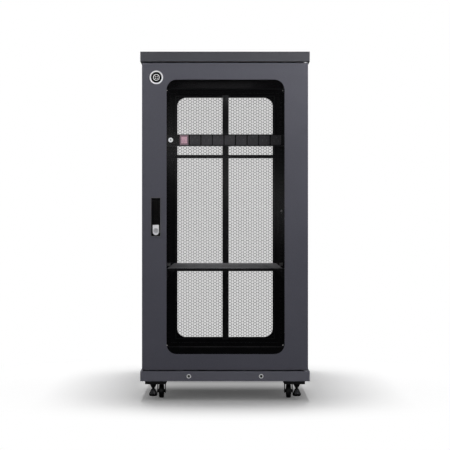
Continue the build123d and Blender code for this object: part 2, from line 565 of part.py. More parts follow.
with BuildPart() as rear_mesh:
    with BuildSketch(face_plane(DOOR_SKIN_Y + MESH_THICK)):
        with Locations((0, MESH_Z)):
            RectangleRounded(MESH_WIDTH + 2 * MESH_LAP, MESH_HEIGHT + 2 * MESH_LAP, MESH_R + MESH_LAP)
    extrude(amount=MESH_THICK)
save(half_turn(rear_mesh.part), "rear_mesh")

with BuildPart() as rear_stiffener:
    mesh_back = DOOR_SKIN_Y + MESH_THICK
    zs = (MESH_Z - MESH_HEIGHT / 2 - MESH_LAP, MESH_Z + MESH_HEIGHT / 2 + MESH_LAP)
    half = STIFFENER_WIDTH / 2
    x0, x1 = STIFFENER_X - half, STIFFENER_X + half
    block((x0, x1), (mesh_back, mesh_back + STIFFENER_DEPTH), zs)
    block((x0 + SHEET, x1 - SHEET), (mesh_back - 1, mesh_back + STIFFENER_DEPTH - SHEET),
          (zs[0] - 1, zs[1] + 1), Mode.SUBTRACT)
save(half_turn(rear_stiffener.part), "rear_stiffener")

save(handle_housing(), "front_handle_housing")
save(lever_blank(LOCK_Z1, LEVER_Z1 + 1), "front_lever")
save(lever_blank(LEVER_Z0 - 1, LOCK_Z1), "front_lever_tip")
save(key_cylinder(), "front_key_cylinder")
save(latch_cam(), "front_latch_cam")
save(half_turn(handle_housing()), "rear_handle_housing")
save(half_turn(lever_blank(LEVER_Z0 - 1, LEVER_Z1 + 1)), "rear_lever")
save(half_turn(key_cylinder()), "rear_key_cylinder")
save(half_turn(latch_cam()), "rear_latch_cam")

# ---------------------------------------------------------------- fans under the roof
FAN_Z0 = ROOF_Z - FAN_THICK
FAN_PLATE = 2.5
with BuildPart() as fan_housings:
    for fan_x in (-FAN_X, FAN_X):
        block((fan_x - FAN_SIZE / 2, fan_x + FAN_SIZE / 2), (FAN_Y - FAN_SIZE / 2, FAN_Y + FAN_SIZE / 2),
              (FAN_Z0, ROOF_Z))
        rod("Z", (fan_x, FAN_Y), (FAN_Z0 - 1, ROOF_Z + 1), FAN_DUCT_R, Mode.SUBTRACT)
        rod("Z", (fan_x, FAN_Y), (FAN_Z0, FAN_Z0 + FAN_PLATE), FAN_HUB_R)
        for k in range(4):
            with Locations(Location((fan_x, FAN_Y, FAN_Z0 + FAN_PLATE / 2), (0, 0, 45 + 90 * k))):
                with Locations((FAN_DUCT_R / 2 + 5, 0, 0)):
                    Box(FAN_DUCT_R - 8, 4, FAN_PLATE)
        rod("Z", (fan_x, FAN_Y), (FAN_Z0, FAN_Z0 + 18), FAN_SHAFT_R)
save(fan_housings.part, "fan_housings")

for side, sx in SIDES.items():
    rotor_z0, rotor_z1 = FAN_Z0 + FAN_PLATE + 0.5, ROOF_Z - 2
    rotor_mid = (rotor_z0 + rotor_z1) / 2
    with BuildPart() as rotor:
        rod("Z", (sx * FAN_X, FAN_Y), (rotor_z0, rotor_z1), FAN_HUB_R)
        for k in range(FAN_BLADES):
            with Locations(Location((sx * FAN_X, FAN_Y, rotor_mid), (0, 0, 360 * k / FAN_BLADES))):
                with Locations(Location(((FAN_HUB_R + FAN_TIP_R - 2) / 2, 0, 0), (35, 0, 0))):
                    Box(FAN_TIP_R - FAN_HUB_R, 26, 1.6)
        rod("Z", (sx * FAN_X, FAN_Y), (rotor_z0 - 1, FAN_Z0 + 18.3), FAN_SHAFT_R + CLEAR, Mode.SUBTRACT)
    save(rotor.part, f"fan_rotor_{side}")

# ---------------------------------------------------------------- shelf
EAR_X0, EAR_X1 = SHELF_WIDTH / 2 - SHEET, PANEL_WIDTH / 2
REAR_EAR_Y1 = RAIL_REAR_Y + EAR
SHELF_HOLE_ZS = (SHELF_UNIT_Z + U_HOLES[0], SHELF_UNIT_Z + U_HOLES[2])
with BuildPart() as shelf:
    half = SHELF_WIDTH / 2
    block((-half, half), (EAR_Y0, REAR_EAR_Y1), (SHELF_TOP - SHEET, SHELF_TOP))
    with BuildSketch(Plane.XY.offset(SHELF_TOP)):
        with Locations((0, (EAR_Y0 + REAR_EAR_Y1) / 2)):
            with GridLocations(46, 60, 8, 7):
                SlotOverall(34, 6)
    extrude(amount=-SHEET, mode=Mode.SUBTRACT)
    block((-half, half), (EAR_Y0, EAR_Y0 + SHEET), (SHELF_TOP - SHELF_LIP, SHELF_TOP))
    block((-half, half), (REAR_EAR_Y1 - SHEET, REAR_EAR_Y1), (SHELF_TOP - SHELF_LIP, SHELF_TOP))
    for sx in SIDES.values():
        zs = (SHELF_TOP - EAR_HEIGHT, SHELF_TOP)
        block((sx * (half - SHEET), sx * half), (EAR_Y0, REAR_EAR_Y1), (SHELF_TOP - 32, SHELF_TOP))
        for ys in ((EAR_Y0, EAR_Y0 + EAR), (REAR_EAR_Y1 - EAR, REAR_EAR_Y1)):
            block((sx * EAR_X0, sx * EAR_X1), ys, zs)
        for z in SHELF_HOLE_ZS:
            rod("Y", (sx * RACK_HOLE_X, z), (EAR_Y0 - 1, REAR_EAR_Y1 + 1), BOLT_HOLE_R, Mode.SUBTRACT)
save(shelf.part, "shelf")

# ---------------------------------------------------------------- lacing bar
with BuildPart() as lacing_bar:
    zs = (LACING_Z - LACING_HEIGHT / 2, LACING_Z + LACING_HEIGHT / 2)
    block((-PANEL_WIDTH / 2, PANEL_WIDTH / 2), (EAR_Y0, RAIL_FRONT_Y), zs)
    block((-RAIL_X0 + 3, RAIL_X0 - 3), (EAR_Y0, EAR_Y0 + LACING_DEPTH), (zs[1] - EAR, zs[1]))
    for sx in SIDES.values():
        rod("Y", (sx * RACK_HOLE_X, LACING_Z), (EAR_Y0 - 1, RAIL_FRONT_Y + 1), BOLT_HOLE_R, Mode.SUBTRACT)
save(lacing_bar.part, "lacing_bar")

# ---------------------------------------------------------------- power strip
OUTLET_XS = [FIRST_OUTLET_X + k * OUTLET_PITCH for k in range(OUTLETS)]
STRIP_HOLE_ZS = (STRIP_Z - (U_HOLES[1] - U_HOLES[0]), STRIP_Z + (U_HOLES[2] - U_HOLES[1]))
STRIP_BACK_Y = RAIL_FRONT_Y + STRIP_BODY_DEPTH
INLET_X = 180.0
with BuildPart() as strip_housing:
    half = STRIP_BODY_WIDTH / 2
    body_zs = (STRIP_Z - STRIP_BODY_HEIGHT / 2, STRIP_Z + STRIP_BODY_HEIGHT / 2)
    block((-PANEL_WIDTH / 2, PANEL_WIDTH / 2), (EAR_Y0, RAIL_FRONT_Y),
          (STRIP_Z - STRIP_HEIGHT / 2, STRIP_Z + STRIP_HEIGHT / 2))
    block((-half, half), (RAIL_FRONT_Y, STRIP_BACK_Y), body_zs)
    block((SHEET - half, half - SHEET), (RAIL_FRONT_Y, STRIP_BACK_Y - SHEET),
          (body_zs[0] + SHEET, body_zs[1] - SHEET), Mode.SUBTRACT)
    for x in OUTLET_XS:
        block((x - OUTLET_WIDTH / 2, x + OUTLET_WIDTH / 2), (EAR_Y0 - 1, RAIL_FRONT_Y + 1),
              (STRIP_Z - OUTLET_HEIGHT / 2, STRIP_Z + OUTLET_HEIGHT / 2), Mode.SUBTRACT)
    block((SWITCH_X - BEZEL_WIDTH / 2 + 2, SWITCH_X + BEZEL_WIDTH / 2 - 2), (EAR_Y0 - 1, RAIL_FRONT_Y + 1),
          (STRIP_Z - BEZEL_HEIGHT / 2 + 3, STRIP_Z + BEZEL_HEIGHT / 2 - 3), Mode.SUBTRACT)
    rod("Y", (RESET_X, STRIP_Z), (EAR_Y0 - 1, RAIL_FRONT_Y + 1), RESET_R + CLEAR, Mode.SUBTRACT)
    block((INLET_X - 12, INLET_X + 12), (STRIP_BACK_Y - 3, STRIP_BACK_Y + 1), (STRIP_Z - 9, STRIP_Z + 9),
          Mode.SUBTRACT)
    for sx in SIDES.values():
        for z in STRIP_HOLE_ZS:
            rod("Y", (sx * RACK_HOLE_X, z), (EAR_Y0 - 1, RAIL_FRONT_Y + 1), BOLT_HOLE_R, Mode.SUBTRACT)
save(strip_housing.part, "strip_housing")

# Outlets with their pin slots, and the inlet at the back
with BuildPart() as strip_outlets:
    for x in OUTLET_XS:
        block((x - OUTLET_WIDTH / 2, x + OUTLET_WIDTH / 2), (EAR_Y0 - 0.8, RAIL_FRONT_Y + 16),
              (STRIP_Z - OUTLET_HEIGHT / 2, STRIP_Z + OUTLET_HEIGHT / 2))
        for dx in (-8, 8):
            block((x + dx - 1.5, x + dx + 1.5), (EAR_Y0 - 2, EAR_Y0 + 12), (STRIP_Z - 7, STRIP_Z + 1),
                  Mode.SUBTRACT)
        rod("Y", (x, STRIP_Z + 9), (EAR_Y0 - 2, EAR_Y0 + 12), 3.0, Mode.SUBTRACT)
    block((INLET_X - 12, INLET_X + 12), (STRIP_BACK_Y - 20, STRIP_BACK_Y), (STRIP_Z - 9, STRIP_Z + 9))
    block((INLET_X - 14, INLET_X + 14), (STRIP_BACK_Y, STRIP_BACK_Y + 3), (STRIP_Z - 12, STRIP_Z + 12))
    block((INLET_X - 9, INLET_X + 9), (STRIP_BACK_Y - 14, STRIP_BACK_Y + 4), (STRIP_Z - 6, STRIP_Z + 6),
          Mode.SUBTRACT)
save(strip_outlets.part, "strip_outlets")

# Bezel of the switch and ring of the reset button
with BuildPart() as strip_bezels:
    block((SWITCH_X - BEZEL_WIDTH / 2, SWITCH_X + BEZEL_WIDTH / 2), (EAR_Y0 - 2, EAR_Y0),
          (STRIP_Z - BEZEL_HEIGHT / 2, STRIP_Z + BEZEL_HEIGHT / 2))
    block((SWITCH_X - BEZEL_WIDTH / 2 + 2, SWITCH_X + BEZEL_WIDTH / 2 - 2), (EAR_Y0, RAIL_FRONT_Y + 20),
          (STRIP_Z - BEZEL_HEIGHT / 2 + 3, STRIP_Z + BEZEL_HEIGHT / 2 - 3))
    block((SWITCH_X - ROCKER_WIDTH / 2 - 0.5, SWITCH_X + ROCKER_WIDTH / 2 + 0.5),
          (EAR_Y0 - 3, RAIL_FRONT_Y + 18),
          (STRIP_Z - ROCKER_HEIGHT / 2 - 2.5, STRIP_Z + ROCKER_HEIGHT / 2 + 2.5), Mode.SUBTRACT)
    rod("X", (EAR_Y0 + ROCKER_PIVOT, STRIP_Z), (SWITCH_X - ROCKER_WIDTH / 2 - 1,
                                               SWITCH_X + ROCKER_WIDTH / 2 + 1), 1.5)
    rod("Y", (RESET_X, STRIP_Z), (EAR_Y0 - 2, EAR_Y0), RESET_RING_R)
    rod("Y", (RESET_X, STRIP_Z), (EAR_Y0 - 3, EAR_Y0 + 1), RESET_R + CLEAR, Mode.SUBTRACT)
save(strip_bezels.part, "strip_bezels")

with BuildPart() as strip_rocker:
    with BuildSketch(Plane.YZ.offset(SWITCH_X - ROCKER_WIDTH / 2)):
        top, low = STRIP_Z + ROCKER_HEIGHT / 2, STRIP_Z - ROCKER_HEIGHT / 2
        Polygon((EAR_Y0 - 0.5, top), (EAR_Y0 - 1.5, STRIP_Z), (EAR_Y0 - 4.5, low), (EAR_Y0 + 4, low),
                (EAR_Y0 + 12, STRIP_Z - 6), (EAR_Y0 + 12, STRIP_Z + 6), (EAR_Y0 + 8, top), align=None)
    extrude(amount=ROCKER_WIDTH)
    rod("X", (EAR_Y0 + ROCKER_PIVOT, STRIP_Z), (SWITCH_X - ROCKER_WIDTH, SWITCH_X + ROCKER_WIDTH),
        1.5 + CLEAR, Mode.SUBTRACT)
save(strip_rocker.part, "strip_rocker")

with BuildPart() as strip_reset:
    rod("Y", (RESET_X, STRIP_Z), (EAR_Y0 - 5, RAIL_FRONT_Y + 14), RESET_R)
    fillet(strip_reset.faces().sort_by(Axis.Y)[0].edges(), 0.8)
save(strip_reset.part, "strip_reset")


# ---------------------------------------------------------------- rack screws and cage nuts
def rack_screw(x, z, ear_y, way):
    """A screw, its washer and its cage nut. way is the direction the screw points along Y."""
    rail_back = ear_y + way * (EAR + RAIL_THICK)
    rod("Y", (x, z), (ear_y - way * 3.5, ear_y), 5.5)
    rod("Y", (x, z), (ear_y, rail_back + way * 8), BOLT_R)
    block((x - 6.5, x + 6.5), (rail_back, rail_back + way * 4), (z - 6.5, z + 6.5))


with BuildPart() as rack_screws:
    for sx in SIDES.values():
        for z in (*SHELF_HOLE_ZS, *STRIP_HOLE_ZS, LACING_Z):
            rack_screw(sx * RACK_HOLE_X, z, EAR_Y0, 1)
        for z in SHELF_HOLE_ZS:
            rack_screw(sx * RACK_HOLE_X, z, REAR_EAR_Y1, -1)
save(rack_screws.part, "rack_screws")
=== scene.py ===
"""The looks of a network server cabinet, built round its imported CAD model. Metres, +Z up, front to -Y."""

import math

import bmesh
import bpy
from mathutils import Matrix, Vector


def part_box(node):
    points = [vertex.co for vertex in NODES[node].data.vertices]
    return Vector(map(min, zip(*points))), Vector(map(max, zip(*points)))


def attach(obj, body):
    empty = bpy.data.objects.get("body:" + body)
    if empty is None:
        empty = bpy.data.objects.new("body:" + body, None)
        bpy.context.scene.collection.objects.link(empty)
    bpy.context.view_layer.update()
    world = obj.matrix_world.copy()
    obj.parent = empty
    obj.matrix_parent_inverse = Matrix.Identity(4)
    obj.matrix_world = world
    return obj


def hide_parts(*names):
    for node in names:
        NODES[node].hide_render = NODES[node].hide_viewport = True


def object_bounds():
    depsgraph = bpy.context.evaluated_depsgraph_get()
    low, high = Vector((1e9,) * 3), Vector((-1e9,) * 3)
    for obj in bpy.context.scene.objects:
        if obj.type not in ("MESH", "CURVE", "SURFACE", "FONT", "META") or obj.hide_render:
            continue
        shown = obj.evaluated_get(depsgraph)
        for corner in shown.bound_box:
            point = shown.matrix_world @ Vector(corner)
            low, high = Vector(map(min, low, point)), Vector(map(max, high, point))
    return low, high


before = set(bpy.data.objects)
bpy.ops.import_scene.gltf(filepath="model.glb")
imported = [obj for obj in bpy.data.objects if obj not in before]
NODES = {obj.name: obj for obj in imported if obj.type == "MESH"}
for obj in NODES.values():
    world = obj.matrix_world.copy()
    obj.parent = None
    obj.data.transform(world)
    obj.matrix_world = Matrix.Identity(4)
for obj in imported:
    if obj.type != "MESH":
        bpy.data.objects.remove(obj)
cad_box = [list(corner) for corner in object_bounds()]
scene = bpy.context.scene
MM = 0.001

# ---------------------------------------------------------------- camera
LOW, HIGH = (Vector(corner) for corner in cad_box)
CAMERA_DISTANCE = 3.700          # from the front of the frames
CAMERA_HEIGHT = 0.6227
CAMERA_LENS, CAMERA_SENSOR = 83.70, 36.0          # mm
VIEW_END = 60.0
camera_data = bpy.data.cameras.new("camera")
camera_data.sensor_width = CAMERA_SENSOR
camera_data.lens = CAMERA_LENS
camera_data.clip_end = VIEW_END
camera = bpy.data.objects.new("camera", camera_data)
scene.collection.objects.link(camera)
camera.location = (0.0, LOW.y - CAMERA_DISTANCE, CAMERA_HEIGHT)
camera.rotation_euler = (math.radians(90), 0.0, 0.0)
scene.camera = camera


# ---------------------------------------------------------------- materials
def new_material(name):
    """A material with nodes, and its tree, Principled shader and object-space coordinates."""
    material = bpy.data.materials.new(name)
    material.use_nodes = True
    tree = material.node_tree
    tree.nodes.clear()
    output = tree.nodes.new("ShaderNodeOutputMaterial")
    shader = tree.nodes.new("ShaderNodeBsdfPrincipled")
    tree.links.new(shader.outputs["BSDF"], output.inputs["Surface"])
    coords = tree.nodes.new("ShaderNodeTexCoord")
    return material, tree, shader, coords.outputs["Object"]


def noise(tree, vector, scale, detail=2.0, roughness=0.5, stretch=None):
    """A noise texture. stretch scales the coordinates along each axis first."""
    if stretch:
        mapping = tree.nodes.new("ShaderNodeMapping")
        mapping.inputs["Scale"].default_value = stretch
        tree.links.new(vector, mapping.inputs["Vector"])
        vector = mapping.outputs["Vector"]
    node = tree.nodes.new("ShaderNodeTexNoise")
    node.inputs["Scale"].default_value = scale
    node.inputs["Detail"].default_value = detail
    node.inputs["Roughness"].default_value = roughness
    tree.links.new(vector, node.inputs["Vector"])
    return node.outputs["Fac"]


def ramp(tree, value, stops):
    """A colour ramp from (position, grey or colour) stops."""
    node = tree.nodes.new("ShaderNodeValToRGB")
    elements = node.color_ramp.elements
    while len(elements) < len(stops):
        elements.new(0.5)
    for element, (position, colour) in zip(elements, stops):
        element.position = position
        element.color = (*colour, 1.0) if isinstance(colour, tuple) else (colour, colour, colour, 1.0)
    tree.links.new(value, node.inputs["Fac"])
    return node.outputs["Color"]


def bump(tree, shader, height, strength, distance):
    """Drives the shader's normal from a height."""
    node = tree.nodes.new("ShaderNodeBump")
    node.inputs["Strength"].default_value = strength
    node.inputs["Distance"].default_value = distance
    tree.links.new(height, node.inputs["Height"])
    tree.links.new(node.outputs["Normal"], shader.inputs["Normal"])


def mix_colours(tree, factor, low, high):
    """A colour between two others."""
    node = tree.nodes.new("ShaderNodeMix")
    node.data_type = "RGBA"
    tree.links.new(factor, node.inputs["Factor"])
    for socket, value in (("A", low), ("B", high)):
        target = next(i for i in node.inputs if i.name == socket and i.type == "RGBA")
        if isinstance(value, tuple):
            target.default_value = (*value, 1.0)
        else:
            tree.links.new(value, target)
    return next(o for o in node.outputs if o.type == "RGBA")


def within(tree, place, axis, limit):
    """1 where the object's coordinate on an axis lies within a limit of the middle, else 0."""
    split, size, below = (tree.nodes.new(kind) for kind in
                          ("ShaderNodeSeparateXYZ", "ShaderNodeMath", "ShaderNodeMath"))
    tree.links.new(place, split.inputs[0])
    size.operation, below.operation = "ABSOLUTE", "LESS_THAN"
    tree.links.new(split.outputs[axis], size.inputs[0])
    tree.links.new(size.outputs[0], below.inputs[0])
    below.inputs[1].default_value = limit
    return below.outputs[0]


def both(tree, first, second):
    """The product of two masks."""
    product = tree.nodes.new("ShaderNodeMath")
    product.operation = "MULTIPLY"
    tree.links.new(first, product.inputs[0])
    tree.links.new(second, product.inputs[1])
    return product.outputs[0]


# Colours of the masked parts
# black painted as shade inside the cabinet, in the handle's recess and below the shelf's top
PAINTED_SHADE_BLACK = (0.004, 0.004, 0.005)
# black zinc on the fasteners inside the frames, and black painted as shade in the bores of the bushes
BLACK_ZINC_AND_BORE_SHADE = (0.016, 0.016, 0.017)
# a rose painted glow on the switch's bezel
PAINTED_GLOW_ROSE = (0.22, 0.15, 0.18)
MASKED_ROUGHNESS = (0.95, 0.95, 0.95)

# Where the masked parts begin, in metres from the middle
FRAME_WALL_X, FRAME_WALL_Y = 0.2486, 0.3726       # inner walls of the top and bottom frames
PANEL_INNER_X = 0.2942                            # inner side of a side panel
REAR_DOOR_EDGE_X, REAR_DOOR_INNER_Y = 0.2927, 0.3962
DOOR_FACE_Y = 0.3986                              # just behind the front door's face
SHELF_SHEET = 0.0008                              # how much of the shelf's top stays light; the shelf below it is painted black as shade
BUSH_X, BUSH_Z, BUSH_BORE_R = 0.128, 0.0875, 0.0046
BUSH_INNER_Y = 0.3850                             # the bushes lie outside it, the other fasteners inside
SWITCH_EDGE_X = 0.1755                            # between the switch's bezel and the button's


def powder_coat(name, colour, light, rough=(0.42, 0.52), specular=0.5, dark=None):
    """Fine-textured powder coat on sheet steel, faintly mottled. dark makes a mask where the coat is painted
    black as shade.
    """
    material, tree, shader, place = new_material(name)
    grains = noise(tree, place, 900.0, 2.0, 0.6)
    mottle = noise(tree, place, 3.0, 3.0, 0.5)
    speckle = ramp(tree, grains, [(0.35, 0.0), (0.75, 1.0)])
    base = mix_colours(tree, speckle, colour, light)
    base = mix_colours(tree, ramp(tree, mottle, [(0.35, 0.0), (0.65, 0.18)]), base, light)
    dullness = ramp(tree, mottle, [(0.3, rough[0]), (0.7, rough[1])])
    if dark:
        mask = dark(tree, place)
        base = mix_colours(tree, mask, base, PAINTED_SHADE_BLACK)
        dullness = mix_colours(tree, mask, dullness, MASKED_ROUGHNESS)
    tree.links.new(base, shader.inputs["Base Color"])
    tree.links.new(dullness, shader.inputs["Roughness"])
    shader.inputs["Specular IOR Level"].default_value = specular
    bump(tree, shader, grains, 0.35, 0.0004)
    return material


def frame_inside_shade(tree, place):
    """The inner walls of the top and bottom frames, painted black as shade."""
    return both(tree, within(tree, place, 0, FRAME_WALL_X), within(tree, place, 1, FRAME_WALL_Y))


def panel_inside_shade(tree, place):
    """The inner side of the side panels, painted black as shade."""
    return within(tree, place, 0, PANEL_INNER_X)


def rear_door_inside_shade(tree, place):
    """The inner side of the rear door, but not its edges, painted black as shade."""
    return both(tree, within(tree, place, 0, REAR_DOOR_EDGE_X), within(tree, place, 1, REAR_DOOR_INNER_Y))


def recess_shade_behind_door_face(tree, place):
    """Everything that lies behind the front door's face: the handle's recess, painted black as shade."""
    return within(tree, place, 1, DOOR_FACE_Y)


def shelf_shade_below_top(tree, place):
    """All of the shelf below its top sheet: the lips, the side flanges and the ears, painted black as shade.
    """
    split, below = tree.nodes.new("ShaderNodeSeparateXYZ"), tree.nodes.new("ShaderNodeMath")
    tree.links.new(place, split.inputs[0])
    below.operation = "LESS_THAN"
    tree.links.new(split.outputs[2], below.inputs[0])
    below.inputs[1].default_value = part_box("shelf")[1][2] - SHELF_SHEET
    return below.outputs[0]


def black_nuts_and_shaded_bores(tree, place):
    """All the fasteners inside the frames, in black zinc, and the bores of the bushes in the bottom frame,
    painted black as shade.
    """
    sides, apart, span, reach = (tree.nodes.new("ShaderNodeVectorMath") for _ in range(4))
    sides.operation, apart.operation = "ABSOLUTE", "SUBTRACT"
    span.operation, reach.operation = "MULTIPLY", "LENGTH"
    tree.links.new(place, sides.inputs[0])
    tree.links.new(sides.outputs[0], apart.inputs[0])
    apart.inputs[1].default_value = (BUSH_X, 0.0, BUSH_Z)
    tree.links.new(apart.outputs[0], span.inputs[0])
    span.inputs[1].default_value = (1.0, 0.0, 1.0)
    tree.links.new(span.outputs[0], reach.inputs[0])
    inside, either = (tree.nodes.new("ShaderNodeMath") for _ in range(2))
    inside.operation, either.operation = "LESS_THAN", "MAXIMUM"
    tree.links.new(reach.outputs["Value"], inside.inputs[0])
    inside.inputs[1].default_value = BUSH_BORE_R
    tree.links.new(inside.outputs[0], either.inputs[0])
    tree.links.new(within(tree, place, 1, BUSH_INNER_Y), either.inputs[1])
    return either.outputs[0]


def zinc(name, colour, light, rough=(0.28, 0.42), dark=None, metallic=1.0):
    """Zinc or nickel plate on steel, cloudy and lightly brushed. dark makes a mask of black zinc parts, and
    of bores painted black as shade.
    """
    material, tree, shader, place = new_material(name)
    cloud = noise(tree, place, 60.0, 4.0, 0.6)
    brushed = noise(tree, place, 500.0, 2.0, 0.5, (1.0, 1.0, 0.06))
    base = mix_colours(tree, ramp(tree, cloud, [(0.3, 0.0), (0.7, 1.0)]), colour, light)
    if dark:
        base = mix_colours(tree, dark(tree, place), base, BLACK_ZINC_AND_BORE_SHADE)
    tree.links.new(base, shader.inputs["Base Color"])
    tree.links.new(ramp(tree, cloud, [(0.3, rough[0]), (0.7, rough[1])]), shader.inputs["Roughness"])
    shader.inputs["Metallic"].default_value = metallic
    bump(tree, shader, brushed, 0.12, 0.0003)
    return material


def plastic(name, colour, light, rough=(0.4, 0.55), grain=700.0, depth=0.2, specular=0.5):
    """Moulded plastic with a fine spark-eroded grain."""
    material, tree, shader, place = new_material(name)
    grains = noise(tree, place, grain, 2.0, 0.5)
    cloud = noise(tree, place, 25.0, 2.0, 0.5)
    tree.links.new(mix_colours(tree, ramp(tree, cloud, [(0.35, 0.0), (0.65, 1.0)]), colour, light),
                   shader.inputs["Base Color"])
    tree.links.new(ramp(tree, cloud, [(0.3, rough[0]), (0.7, rough[1])]), shader.inputs["Roughness"])
    shader.inputs["Specular IOR Level"].default_value = specular
    bump(tree, shader, grains, depth, 0.0002)
    return material


COAT_DARK, COAT_LIGHT = (0.054, 0.054, 0.070), (0.081, 0.081, 0.105)
COAT = powder_coat("powder_coat_charcoal", COAT_DARK, COAT_LIGHT)
COAT_SIDE = powder_coat("powder_coat_side", COAT_DARK, COAT_LIGHT, dark=panel_inside_shade)
COAT_REAR = powder_coat("powder_coat_rear", COAT_DARK, COAT_LIGHT, dark=rear_door_inside_shade)
# The handle's housing: a coat lighter than the door's, its recess painted black as shade.
COAT_HANDLE = powder_coat("powder_coat_handle", (0.085, 0.085, 0.094), (0.115, 0.115, 0.127),
                          dark=recess_shade_behind_door_face)
# The top frame and the cover: a darker copy of the door's coat, as painted shade; inner walls painted black
# as shade.
COAT_TOP_SHADED = powder_coat("powder_coat_top_painted_shade", (0.033, 0.0335, 0.042), (0.050, 0.051, 0.062),
                       dark=frame_inside_shade)
# The bottom frame: a lighter copy of the door's coat, as painted light; inner walls painted black as shade.
COAT_BASE_LIT = powder_coat("powder_coat_base_painted_light", (0.085, 0.086, 0.106), (0.126, 0.127, 0.154),
                        dark=frame_inside_shade)
# The frame inside the cabinet: a black coat, made nearly black as painted shade.
COAT_INSIDE_SHADED = powder_coat("powder_coat_inside_painted_shade", (0.002, 0.002, 0.003), (0.005, 0.005, 0.006),
                          (0.55, 0.65), specular=0.15)
COAT_BAR = powder_coat("powder_coat_bar", (0.050, 0.050, 0.054), (0.072, 0.072, 0.078))
# The shelf: a light grey top, painted light, and black below it, painted shade.
COAT_SHELF_LIT_AND_SHADED = powder_coat("powder_coat_shelf_painted_light_and_shade", (0.200, 0.200, 0.215), (0.270, 0.270, 0.290), (0.45, 0.55),
                          dark=shelf_shade_below_top)
COAT_BLACK = powder_coat("powder_coat_black", (0.008, 0.008, 0.009), (0.016, 0.016, 0.017),
                         (0.45, 0.6))
ZINC = zinc("zinc_plate", (0.52, 0.53, 0.54), (0.72, 0.73, 0.74))
ZINC_FRAME = zinc("zinc_plate_frame", (0.80, 0.80, 0.81), (0.92, 0.92, 0.93),
                  dark=black_nuts_and_shaded_bores, metallic=0.35)
ZINC_DARK = zinc("black_zinc_plate", (0.012, 0.012, 0.013), (0.026, 0.026, 0.028), (0.4, 0.55))
NICKEL = zinc("satin_nickel", (0.93, 0.92, 0.95), (0.98, 0.98, 1.0), (0.30, 0.42), metallic=0.4)
BLACK_PLASTIC = plastic("black_plastic", (0.002, 0.002, 0.002), (0.004, 0.0036, 0.0036), specular=0.08)
OUTLET_PLASTIC = plastic("outlet_plastic", (0.066, 0.063, 0.071), (0.088, 0.084, 0.094))
STRIP_BLACK = powder_coat("strip_black", (0.006, 0.006, 0.007), (0.010, 0.010, 0.011), (0.4, 0.5),
                          specular=0.2)
WHEEL_PLASTIC = plastic("wheel_nylon", (0.008, 0.008, 0.009), (0.018, 0.018, 0.019), (0.38, 0.55))
FAN_PLASTIC = plastic("fan_plastic", (0.010, 0.010, 0.011), (0.018, 0.018, 0.019), (0.35, 0.45))
WHITE_PLASTIC = plastic("pale_plastic", (0.72, 0.72, 0.74), (0.82, 0.82, 0.84), (0.25, 0.35),
                        depth=0.05)
RUBBER = plastic("seal_rubber", (0.006, 0.006, 0.006), (0.012, 0.012, 0.012), (0.65, 0.8), 400.0, 0.3)


def switch_bezel(tree, place):
    """The part of the two bezels nearer to the middle, which is the switch's, and takes the rose painted
    glow.
    """
    return within(tree, place, 0, SWITCH_EDGE_X)


def lamp_lit_and_painted_glow_plastic(name, dim, bright, glow, dark=None):
    """Translucent plastic with a glow: the rocker's is lit from inside by its lamp, the reset button's and
    the bezels' is painted light. dark makes a mask of its dimmer part, which takes the rose painted glow.
    """
    material, tree, shader, place = new_material(name)
    cloud = noise(tree, place, 220.0, 2.0, 0.5)
    colour = mix_colours(tree, ramp(tree, cloud, [(0.3, 0.0), (0.7, 1.0)]), dim, bright)
    if dark:
        colour = mix_colours(tree, dark(tree, place), colour, PAINTED_GLOW_ROSE)
    tree.links.new(colour, shader.inputs["Base Color"])
    tree.links.new(colour, shader.inputs["Emission Color"])
    shader.inputs["Emission Strength"].default_value = glow
    tree.links.new(ramp(tree, cloud, [(0.3, 0.18), (0.7, 0.26)]), shader.inputs["Roughness"])
    return material


def tinted_glass(name):
    """Toughened glass with a light grey tint: what isn't reflected or absorbed passes straight through."""
    material, tree, shader, place = new_material(name)
    haze = noise(tree, place, 4.0, 2.0, 0.5)
    shader.inputs["Base Color"].default_value = (0.004, 0.004, 0.005, 1.0)
    tree.links.new(ramp(tree, haze, [(0.3, 0.12), (0.7, 0.15)]), shader.inputs["Roughness"])
    shader.inputs["IOR"].default_value = 1.52
    shader.inputs["Specular IOR Level"].default_value = 0.3
    shader.inputs["Alpha"].default_value = 0.18
    return material


LIT = lamp_lit_and_painted_glow_plastic("rocker_lit", (0.53, 0.30, 0.38), (0.76, 0.49, 0.58), 0.48)
# The reset button and the bezels glow with painted light; they hold no lamp.
PAINTED_GLOW_WHITE = lamp_lit_and_painted_glow_plastic("reset_painted_glow", (0.80, 0.81, 0.82), (0.92, 0.93, 0.94), 0.6, dark=switch_bezel)
GLASS = tinted_glass("tinted_glass")
LOCK_FACE = zinc("lock_face", (0.50, 0.50, 0.52), (0.64, 0.64, 0.66), (0.35, 0.5), metallic=0.7)

